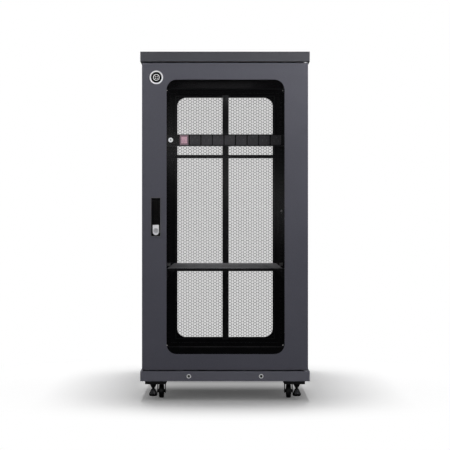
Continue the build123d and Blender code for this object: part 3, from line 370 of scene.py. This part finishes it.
CORNERS = ("front_left", "front_right", "rear_left", "rear_right")
FINISH = {
    COAT: ["front_door_frame"],
    COAT_REAR: ["rear_door_frame"],
    COAT_SIDE: ["side_panel_left", "side_panel_right"],
    COAT_HANDLE: ["front_handle_housing"],
    COAT_TOP_SHADED: ["top_frame", "top_cover"],
    COAT_BASE_LIT: ["bottom_frame"],
    COAT_BAR: ["rear_stiffener"],
    COAT_INSIDE_SHADED: ["base_panel", "side_braces", "lacing_bar",
                  *[f"rail_{end}_{side}" for end in ("front", "rear") for side in ("left", "right")],
                  *[f"corner_post_{corner}" for corner in CORNERS]],
    COAT_SHELF_LIT_AND_SHADED: ["shelf"],
    COAT_BLACK: ["caster_brackets", "glass_clamps", *[f"caster_fork_{corner}" for corner in CORNERS]],
    ZINC: ["hinge_pins", "rack_screws", "front_latch_cam", "rear_latch_cam", "side_lock_left",
           "side_lock_right"],
    ZINC_FRAME: ["frame_fasteners"],
    ZINC_DARK: [f"level_foot_{corner}" for corner in CORNERS],
    BLACK_PLASTIC: ["front_lever", "rear_lever", "rear_handle_housing"],
    OUTLET_PLASTIC: ["strip_outlets"],
    STRIP_BLACK: ["strip_housing"],
    FAN_PLASTIC: ["fan_housings", "fan_rotor_left", "fan_rotor_right"],
    WHEEL_PLASTIC: [f"caster_wheel_{corner}" for corner in CORNERS],
    NICKEL: ["front_lever_tip"],
    LOCK_FACE: ["front_key_cylinder", "rear_key_cylinder"],
    WHITE_PLASTIC: ["badge"],
    PAINTED_GLOW_WHITE: ["strip_bezels", "strip_reset"],
    RUBBER: ["glass_seal"],
    LIT: ["strip_rocker"],
    GLASS: ["front_glass"],
}


def paint(piece, material):
    piece.data.materials.clear()
    piece.data.materials.append(material)


for material, names in FINISH.items():
    for name in names:
        paint(NODES[name], material)
paint(NODES["rear_mesh"], COAT_BLACK)


# ---------------------------------------------------------------- mesh helpers
def link_mesh(name, mesh, material, body):
    """A new piece from a mesh: painted, and riding on a body."""
    piece = bpy.data.objects.new(name, mesh)
    scene.collection.objects.link(piece)
    paint(piece, material)
    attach(piece, body)
    return piece


def from_bmesh(name, bm, material, body, smooth=None):
    """A new piece from a bmesh. smooth is the angle in degrees below which its edges shade smoothly."""
    bmesh.ops.remove_doubles(bm, verts=bm.verts, dist=1e-6)
    bmesh.ops.recalc_face_normals(bm, faces=bm.faces)
    mesh = bpy.data.meshes.new(name)
    bm.to_mesh(mesh)
    bm.free()
    if smooth is not None:
        shade_by_angle(mesh, smooth)
    return link_mesh(name, mesh, material, body)


def shade_by_angle(mesh, degrees):
    """Smooth shading, but for edges sharper than an angle."""
    bm = bmesh.new()
    bm.from_mesh(mesh)
    limit = math.radians(degrees)
    for face in bm.faces:
        face.smooth = True
    for edge in bm.edges:
        edge.smooth = len(edge.link_faces) == 2 and edge.calc_face_angle(0.0) < limit
    bm.to_mesh(mesh)
    bm.free()


def lathe(bm, profile, centre, axis, segments=48):
    """Adds a surface of revolution. profile is (radius, distance along the axis) pairs."""
    axis = Vector(axis).normalized()
    turn = axis.to_track_quat("Z", "Y").to_matrix()
    rings = []
    for radius, along in profile:
        if radius < 1e-7:
            rings.append([bm.verts.new(Vector(centre) + turn @ Vector((0, 0, along)))])
            continue
        angles = [2 * math.pi * k / segments for k in range(segments)]
        points = [Vector((radius * math.cos(a), radius * math.sin(a), along)) for a in angles]
        rings.append([bm.verts.new(Vector(centre) + turn @ point) for point in points])
    for lower, upper in zip(rings, rings[1:]):
        for k in range(segments):
            n = (k + 1) % segments
            corners = [lower[k % len(lower)], lower[n % len(lower)],
                       upper[n % len(upper)], upper[k % len(upper)]]
            unique = list(dict.fromkeys(corners))
            if len(unique) > 2:
                bm.faces.new(unique)


def slab(bm, low, high):
    """Adds a box between two corners and returns its vertices."""
    made = bmesh.ops.create_cube(bm, size=1.0)["verts"]
    low, high = Vector(low), Vector(high)
    for vert in made:
        vert.co = Vector((c + 0.5) * (b - a) + a for c, a, b in zip(vert.co, low, high))
    return made


def rounded_slab(bm, low, high, radius, segments=2):
    """A box with all its edges rounded."""
    verts = slab(bm, low, high)
    edges = list({edge for vert in verts for edge in vert.link_edges})
    bmesh.ops.bevel(bm, geom=edges, offset=radius, segments=segments, profile=0.5, affect="EDGES")


def soften(name, width, segments=2, angle=40):
    """Rounds the sharp edges of a CAD node's shown shape a little, and shades it."""
    node = NODES[name]
    bevel = node.modifiers.new("edge_round", "BEVEL")
    bevel.width = width
    bevel.segments = segments
    bevel.limit_method = "ANGLE"
    bevel.angle_limit = math.radians(angle)
    bevel.harden_normals = True


# ---------------------------------------------------------------- rear door: perforated sheet
HOLE_PITCH = 12.4 * MM           # between the rows of one column
HOLE_SIZE = 10.9 * MM            # across the flats
SHEET_RIM = 5.0 * MM


def hexagon(cx, cz, radius):
    """Corners of a hexagon whose flats face up and down."""
    return [(cx + radius * math.cos(math.radians(60 * k)), cz + radius * math.sin(math.radians(60 * k)))
            for k in range(6)]


def perforated_sheet():
    """A sheet of hexagonal holes with a plain rim. Each cell is a ring with inner walls."""
    low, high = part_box("rear_mesh")
    inside, outside = low.y, high.y
    cell, hole = HOLE_PITCH / math.sqrt(3), HOLE_SIZE / math.sqrt(3)
    mid_x, mid_z = (low.x + high.x) / 2, (low.z + high.z) / 2
    columns = int((high.x - low.x) / 2 / (1.5 * cell)) + 1
    rows = int((high.z - low.z) / 2 / HOLE_PITCH) + 1
    bm = bmesh.new()
    corner_at = {}

    def corner(x, z, y):
        key = (round(x * 1e6), round(z * 1e6), y)
        if key not in corner_at:
            corner_at[key] = bm.verts.new((x, y, z))
        return corner_at[key]

    for i in range(-columns, columns + 1):
        for j in range(-rows, rows + 1):
            cx, cz = mid_x + i * 1.5 * cell, mid_z + (j + (i % 2) / 2) * HOLE_PITCH
            outer, inner = hexagon(cx, cz, cell), hexagon(cx, cz, hole)
            walls = [[bm.verts.new((x, y, z)) for x, z in inner] for y in (inside, outside)]
            for k in range(6):
                n = (k + 1) % 6
                for wall, y in zip(walls, (inside, outside)):
                    bm.faces.new((corner(*outer[k], y), corner(*outer[n], y), wall[n], wall[k]))
                bm.faces.new((walls[0][k], walls[0][n], walls[1][n], walls[1][k]))
    for point, normal in ((low, (-1, 0, 0)), (low, (0, 0, -1)), (high, (1, 0, 0)), (high, (0, 0, 1))):
        geometry = list(bm.verts) + list(bm.edges) + list(bm.faces)
        bmesh.ops.bisect_plane(bm, geom=geometry, dist=1e-7, plane_co=point, plane_no=normal,
                               clear_outer=True)
    for x0, x1, z0, z1 in ((low.x, high.x, low.z, low.z + SHEET_RIM),
                           (low.x, high.x, high.z - SHEET_RIM, high.z),
                           (low.x, low.x + SHEET_RIM, low.z, high.z),
                           (high.x - SHEET_RIM, high.x, low.z, high.z)):
        slab(bm, (x0, inside, z0), (x1, outside, z1))
    sheet = from_bmesh("rear_perforated_sheet", bm, COAT_BLACK, "rear_door")
    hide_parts("rear_mesh")


perforated_sheet()


# ---------------------------------------------------------------- badge
BADGE_RECESS = 1.2 * MM
DISC_R = 18.9 * MM
BADGE_RING_R0, BADGE_RING_R1 = 9.2 * MM, 11.6 * MM
STUD_R, STUD_PLACE = 1.7 * MM, 3.1 * MM
DISC_TOP, DEVICE_FOOT, DEVICE_EDGE, DEVICE_TOP = 0.4 * MM, 0.3 * MM, 0.6 * MM, 0.75 * MM


def badge_face():
    """A black enamel disc with one raised ring and four small studs, a plain device of no maker."""
    low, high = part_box("badge")
    x, y, z = (low.x + high.x) / 2, high.y - BADGE_RECESS, (low.z + high.z) / 2
    forward = (0, -1, 0)
    bm = bmesh.new()
    lathe(bm, [(0.0, 0.0), (DISC_R, 0.0), (DISC_R, 0.25 * MM), (DISC_R - 0.5 * MM, DISC_TOP),
               (0.0, DISC_TOP)], (x, y, z), forward, 72)
    from_bmesh("badge_disc", bm, BLACK_PLASTIC, "front_door", 35)
    bm = bmesh.new()
    lathe(bm, [(BADGE_RING_R0, DEVICE_FOOT), (BADGE_RING_R0, DEVICE_EDGE),
               (BADGE_RING_R0 + 0.4 * MM, DEVICE_TOP), (BADGE_RING_R1 - 0.4 * MM, DEVICE_TOP),
               (BADGE_RING_R1, DEVICE_EDGE), (BADGE_RING_R1, DEVICE_FOOT), (BADGE_RING_R0, DEVICE_FOOT)],
          (x, y, z), forward, 72)
    for dx, dz in ((-1, -1), (-1, 1), (1, -1), (1, 1)):
        lathe(bm, [(STUD_R, DEVICE_FOOT), (STUD_R, DEVICE_EDGE), (STUD_R - 0.3 * MM, DEVICE_TOP),
                   (0.0, DEVICE_TOP)], (x + dx * STUD_PLACE, y, z + dz * STUD_PLACE), forward, 24)
    from_bmesh("badge_device", bm, WHITE_PLASTIC, "front_door", 35)


badge_face()

# ---------------------------------------------------------------- handles
KEY_RING_R0, KEY_RING_R1, KEY_RING_EDGE, KEY_RING_TOP = 7.0 * MM, 8.8 * MM, 0.5 * MM, 0.9 * MM
RIBS, FIRST_RIB, RIB_PITCH = 5, 38, 5           # mm above the lock
RIB_X, RIB_Z, RIB_DEPTH, RIB_HEIGHT = 7.5 * MM, 0.9 * MM, 0.3 * MM, 0.5 * MM


def lever_details(end, sign):
    """The ring round the keyhole, and the lever's grip ribs. sign is the way the handle faces along Y."""
    key_low, key_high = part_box(f"{end}_key_cylinder")
    x, z = (key_low.x + key_high.x) / 2, (key_low.z + key_high.z) / 2
    lever_low, lever_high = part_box(f"{end}_lever")
    face_y = lever_low.y if sign < 0 else lever_high.y
    bm = bmesh.new()
    lathe(bm, [(KEY_RING_R0, 0.0), (KEY_RING_R0, KEY_RING_EDGE), (KEY_RING_R0 + 0.4 * MM, KEY_RING_TOP),
               (KEY_RING_R1 - 0.5 * MM, KEY_RING_TOP), (KEY_RING_R1, KEY_RING_EDGE), (KEY_RING_R1, 0.0),
               (KEY_RING_R0, 0.0)], (x, face_y, z), (0, sign, 0), 48)
    from_bmesh(f"{end}_key_ring", bm, LOCK_FACE, f"{end}_lever", 35)
    bm = bmesh.new()
    for k in range(RIBS):
        rib_z = z + (FIRST_RIB + RIB_PITCH * k) * MM
        ends = sorted((face_y - sign * RIB_DEPTH, face_y + sign * RIB_HEIGHT))
        rounded_slab(bm, (x - RIB_X, ends[0], rib_z - RIB_Z), (x + RIB_X, ends[1], rib_z + RIB_Z), 0.3 * MM)
    from_bmesh(f"{end}_lever_ribs", bm, BLACK_PLASTIC, f"{end}_lever", 35)


lever_details("front", -1)
lever_details("rear", 1)

# ---------------------------------------------------------------- power strip
OUTLETS, OUTLET_PITCH = 8, 42.1 * MM
OUTLET_HALF_Z = 17.5 * MM
RIM_WIDTH, RIM_PROUD, RIM_SUNK = 2.2 * MM, 0.9 * MM, 0.2 * MM


def outlet_faces():
    """A raised rim round the face of each outlet."""
    low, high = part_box("strip_outlets")
    size = high.x - low.x - (OUTLETS - 1) * OUTLET_PITCH
    mid_z = (low.z + high.z) / 2
    z0, z1 = mid_z - OUTLET_HALF_Z, mid_z + OUTLET_HALF_Z
    bm = bmesh.new()
    for k in range(OUTLETS):
        x0 = low.x + k * OUTLET_PITCH
        x1 = x0 + size
        for a, b, c, d in ((x0, x1, z0, z0 + RIM_WIDTH), (x0, x1, z1 - RIM_WIDTH, z1),
                           (x0, x0 + RIM_WIDTH, z0, z1), (x1 - RIM_WIDTH, x1, z0, z1)):
            rounded_slab(bm, (a, low.y - RIM_PROUD, c), (b, low.y + RIM_SUNK, d), 0.35 * MM)
    from_bmesh("outlet_rims", bm, OUTLET_PLASTIC, "cabinet", 35)


def rocker_mark():
    """The line for on, moulded into the rocker."""
    low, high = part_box("strip_rocker")
    x, mid_z = (low.x + high.x) / 2, (low.z + high.z) / 2
    bm = bmesh.new()
    rounded_slab(bm, (x - 0.8 * MM, low.y + 3.1 * MM, mid_z + 3.5 * MM),
                 (x + 0.8 * MM, low.y + 3.9 * MM, mid_z + 8.5 * MM), 0.2 * MM)
    from_bmesh("rocker_mark", bm, WHITE_PLASTIC, "strip_rocker", 35)


def reset_dot():
    """The small grey dimple in the middle of the reset button."""
    low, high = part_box("strip_reset")
    centre = ((low.x + high.x) / 2, low.y, (low.z + high.z) / 2)
    bm = bmesh.new()
    lathe(bm, [(0.0, -0.5 * MM), (2.4 * MM, -0.5 * MM), (2.4 * MM, 0.02 * MM), (2.1 * MM, 0.12 * MM),
               (1.5 * MM, 0.04 * MM), (0.0, 0.02 * MM)], centre, (0, -1, 0), 32)
    from_bmesh("reset_dot", bm, OUTLET_PLASTIC, "strip_reset", 35)


outlet_faces()
rocker_mark()
reset_dot()


# ---------------------------------------------------------------- casters and feet
KING_X, KING_Y = 229.0 * MM, 310.0 * MM          # a caster's king pin, from the middle
WHEEL_R = 25.0 * MM
FORK_HALF = 15.0 * MM


def caster_details(corner):
    """The bright swivel race above a fork, and the caps of its wheel's axle."""
    fork_low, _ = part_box(f"caster_fork_{corner}")
    wheel_low, wheel_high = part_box(f"caster_wheel_{corner}")
    race_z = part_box("caster_brackets")[0].z
    king = (math.copysign(KING_X, fork_low.x), math.copysign(KING_Y, fork_low.y))
    bm = bmesh.new()
    lathe(bm, [(17.05 * MM, 0.3 * MM), (18.6 * MM, 0.5 * MM), (19.4 * MM, 1.6 * MM), (19.4 * MM, 4.2 * MM),
               (18.4 * MM, 5.4 * MM), (17.05 * MM, 5.6 * MM), (17.05 * MM, 0.3 * MM)],
          (*king, race_z), (0, 0, 1), 64)
    from_bmesh(f"caster_race_{corner}", bm, ZINC, "cabinet", 35)
    axle = (wheel_low.y + wheel_high.y) / 2
    bm = bmesh.new()
    for way in (-1, 1):
        lathe(bm, [(0.0, 2.2 * MM), (2.6 * MM, 2.2 * MM), (4.2 * MM, 1.2 * MM), (4.6 * MM, 0.0), (0.0, 0.0)],
              (king[0] + way * FORK_HALF, axle, wheel_low.z + WHEEL_R), (way, 0, 0), 32)
    from_bmesh(f"caster_axle_caps_{corner}", bm, ZINC, f"caster_fork_{corner}", 35)


def foot_details(corner):
    """A hexagon to turn the foot by."""
    low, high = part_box(f"level_foot_{corner}")
    x, y = (low.x + high.x) / 2, (low.y + high.y) / 2
    bm = bmesh.new()
    lathe(bm, [(0.0, 24.3 * MM), (7.4 * MM, 24.3 * MM), (8.0 * MM, 23.6 * MM), (8.0 * MM, 18.0 * MM),
               (0.0, 17.0 * MM)], (x, y, low.z), (0, 0, 1), 6)
    from_bmesh(f"foot_hexagon_{corner}", bm, ZINC_DARK, f"level_foot_{corner}", 20)


for corner in CORNERS:
    caster_details(corner)
    foot_details(corner)

# ---------------------------------------------------------------- roof
FAN_X, FAN_SCREW = 80.0 * MM, 52.5 * MM          # the fans' middles, and their screws from those
SCREW_DROP = 1.7 * MM                            # from the roof down to the foot of a screw's head


def fan_screws():
    """The pan heads of the screws that hold each fan under the roof."""
    low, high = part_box("fan_housings")
    mid_y, foot_z = (low.y + high.y) / 2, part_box("top_cover")[1].z - SCREW_DROP
    head = [(0.0, 0.0), (4.0 * MM, 0.0), (4.0 * MM, 0.4 * MM), (3.3 * MM, 1.5 * MM), (0.0, 1.68 * MM)]
    bm = bmesh.new()
    for fan_x in (-FAN_X, FAN_X):
        for dx in (-FAN_SCREW, FAN_SCREW):
            for dy in (-FAN_SCREW, FAN_SCREW):
                lathe(bm, head, (fan_x + dx, mid_y + dy, foot_z), (0, 0, 1), 24)
    from_bmesh("fan_screws", bm, ZINC, "cabinet", 35)


fan_screws()

# ---------------------------------------------------------------- edge rounding of the CAD pieces
for name in ("top_frame", "bottom_frame", "side_panel_left", "side_panel_right", "shelf", "lacing_bar",
             "strip_housing", "strip_outlets", "strip_bezels", "front_lever", "front_lever_tip", "rear_lever",
             "front_handle_housing", "rear_handle_housing", "badge", "front_glass", "strip_rocker"):
    soften(name, 0.5 * MM)
for name in ("front_door_frame", "rear_door_frame"):
    soften(name, 0.6 * MM)

# ---------------------------------------------------------------- floor and light
WHITE = (1.0, 1.0, 1.0, 1.0)
FLOOR_BOUNCED = (0.10, 0.10, 0.11, 1.0)
FLOOR_HALF = 30.0
SHADOW_LIFT, MIDDLE_LIFT = 0.075, 0.36           # light added to the shadow, and to its part under the middle
MIDDLE_SIDE, MIDDLE_FRONT = (0.26, 0.36), (0.0, 0.18)          # over which that part fades, from the middle
COVE_SCALE = (0.72, 1.08, 1.0)
COVE_START, COVE_END = 0.45, 0.88                # scaled distance over which the floor turns plain white
WORLD_LIGHT = 0.42


def studio_floor():
    """A pale floor that runs into the white backdrop, with painted light that lifts its shadow, most under
    the middle. Its bounced light is much dimmer than it looks.
    """
    bm = bmesh.new()
    bmesh.ops.create_grid(bm, x_segments=2, y_segments=2, size=FLOOR_HALF)
    mesh = bpy.data.meshes.new("floor")
    bm.to_mesh(mesh)
    bm.free()
    floor = bpy.data.objects.new("floor", mesh)
    scene.collection.objects.link(floor)
    material = bpy.data.materials.new("floor")
    material.use_nodes = True
    tree = material.node_tree
    tree.nodes.clear()
    output = tree.nodes.new("ShaderNodeOutputMaterial")
    # haze is an emission: painted light over the floor's shadow
    seen, bounced, plain, haze, lifted = (tree.nodes.new(kind) for kind in (
        "ShaderNodeBsdfDiffuse", "ShaderNodeBsdfDiffuse", "ShaderNodeEmission", "ShaderNodeEmission",
        "ShaderNodeAddShader"))
    cove, mix = tree.nodes.new("ShaderNodeMixShader"), tree.nodes.new("ShaderNodeMixShader")
    seen.inputs["Color"].default_value = WHITE
    bounced.inputs["Color"].default_value = FLOOR_BOUNCED
    plain.inputs["Color"].default_value = WHITE
    haze.inputs["Color"].default_value = WHITE
    tree.links.new(seen.outputs[0], lifted.inputs[0])
    tree.links.new(haze.outputs[0], lifted.inputs[1])
    coords, length, ellipse = (tree.nodes.new(kind) for kind in (
        "ShaderNodeTexCoord", "ShaderNodeVectorMath", "ShaderNodeMapping"))
    length.operation = "LENGTH"
    ellipse.inputs["Scale"].default_value = COVE_SCALE
    tree.links.new(coords.outputs["Object"], ellipse.inputs["Vector"])
    tree.links.new(ellipse.outputs[0], length.inputs[0])
    split, product, lift = (tree.nodes.new(kind) for kind in (
        "ShaderNodeSeparateXYZ", "ShaderNodeMath", "ShaderNodeMath"))
    product.operation, lift.operation = "MULTIPLY", "MULTIPLY_ADD"
    tree.links.new(coords.outputs["Object"], split.inputs[0])
    for axis, reach in enumerate((MIDDLE_SIDE, MIDDLE_FRONT)):
        size, fall = tree.nodes.new("ShaderNodeMath"), tree.nodes.new("ShaderNodeMapRange")
        size.operation, fall.interpolation_type = "ABSOLUTE", "SMOOTHSTEP"
        tree.links.new(split.outputs[axis], size.inputs[0])
        tree.links.new(size.outputs[0], fall.inputs["Value"])
        fall.inputs["From Min"].default_value, fall.inputs["From Max"].default_value = reach
        fall.inputs["To Min"].default_value, fall.inputs["To Max"].default_value = 1.0, 0.0
        tree.links.new(fall.outputs[0], product.inputs[axis])
    tree.links.new(product.outputs[0], lift.inputs[0])
    lift.inputs[1].default_value, lift.inputs[2].default_value = MIDDLE_LIFT - SHADOW_LIFT, SHADOW_LIFT
    tree.links.new(lift.outputs[0], haze.inputs["Strength"])
    far = tree.nodes.new("ShaderNodeMapRange")
    far.interpolation_type = "SMOOTHSTEP"
    far.inputs["From Min"].default_value, far.inputs["From Max"].default_value = COVE_START, COVE_END
    tree.links.new(length.outputs["Value"], far.inputs["Value"])
    tree.links.new(far.outputs[0], cove.inputs[0])
    tree.links.new(lifted.outputs[0], cove.inputs[1])
    tree.links.new(plain.outputs[0], cove.inputs[2])
    path = tree.nodes.new("ShaderNodeLightPath")
    tree.links.new(path.outputs["Is Camera Ray"], mix.inputs[0])
    tree.links.new(bounced.outputs[0], mix.inputs[1])
    tree.links.new(cove.outputs[0], mix.inputs[2])
    tree.links.new(mix.outputs[0], output.inputs["Surface"])
    paint(floor, material)
    return floor


def studio_world():
    """White behind everything. Its light is soft: bright above the horizon and dim below."""
    world = bpy.data.worlds.new("studio")
    world.use_nodes = True
    scene.world = world
    tree = world.node_tree
    tree.nodes.clear()
    output = tree.nodes.new("ShaderNodeOutputWorld")
    plain, graded = (tree.nodes.new("ShaderNodeBackground") for _ in range(2))
    plain.inputs["Color"].default_value = WHITE
    coords = tree.nodes.new("ShaderNodeTexCoord")
    split = tree.nodes.new("ShaderNodeSeparateXYZ")
    tree.links.new(coords.outputs["Generated"], split.inputs[0])
    graded_colour = ramp(tree, split.outputs["Z"], [(0.0, 0.14), (0.10, 0.40), (0.4, 0.9), (1.0, 1.0)])
    tree.links.new(graded_colour, graded.inputs["Color"])
    graded.inputs["Strength"].default_value = WORLD_LIGHT
    mix, path = tree.nodes.new("ShaderNodeMixShader"), tree.nodes.new("ShaderNodeLightPath")
    tree.links.new(path.outputs["Is Camera Ray"], mix.inputs[0])
    tree.links.new(graded.outputs[0], mix.inputs[1])
    tree.links.new(plain.outputs[0], mix.inputs[2])
    tree.links.new(mix.outputs[0], output.inputs["Surface"])


def softbox(name, place, target, width, height, power, roll=0.0):
    """A rectangular area light that faces a target."""
    data = bpy.data.lights.new(name, "AREA")
    data.shape = "RECTANGLE"
    data.size, data.size_y = width, height
    data.energy = power
    light = bpy.data.objects.new(name, data)
    scene.collection.objects.link(light)
    light.location = place
    turn = (Vector(target) - Vector(place)).to_track_quat("-Z", "Y").to_matrix()
    light.rotation_euler = (turn @ Matrix.Rotation(math.radians(roll), 3, "Z")).to_euler()
    light.visible_camera = False
    return light


studio_world()
softbox("overhead", (0.0, 0.5, 4.2), (0.0, 0.2, 0.0), 1.2, 1.4, 115.0)
object_lights = [
    softbox("front_right", (1.2, -1.8, 2.05), (0.0, -0.4, 1.05), 1.2, 1.1, 37.0),
    softbox("front_left", (-1.2, -1.8, 2.0), (0.0, -0.4, 1.05), 1.2, 1.1, 14.0),
    softbox("rear_top", (-0.9, 1.9, 2.3), (0.0, 0.4, 0.8), 1.6, 1.2, 20.0),
    softbox("side_left", (-2.6, -0.3, 2.0), (-0.3, 0.0, 0.7), 1.4, 1.4, 16.0),
    softbox("side_right", (2.6, -0.3, 2.0), (0.3, 0.0, 0.7), 1.4, 1.4, 16.0),
    softbox("glass_glow", (0.02, -6.0, 1.06), (0.02, 0.0, 1.06), 1.7, 0.35, 4.2, -29.0)]
unlit = bpy.data.collections.new("not_lit_by_the_object_lights")
unlit.objects.link(studio_floor())
for light in object_lights:
    light.light_linking.receiver_collection = unlit
unlit.collection_objects[0].light_linking.link_state = "EXCLUDE"
scene.view_settings.view_transform = "Standard"
scene.view_settings.look = "None"
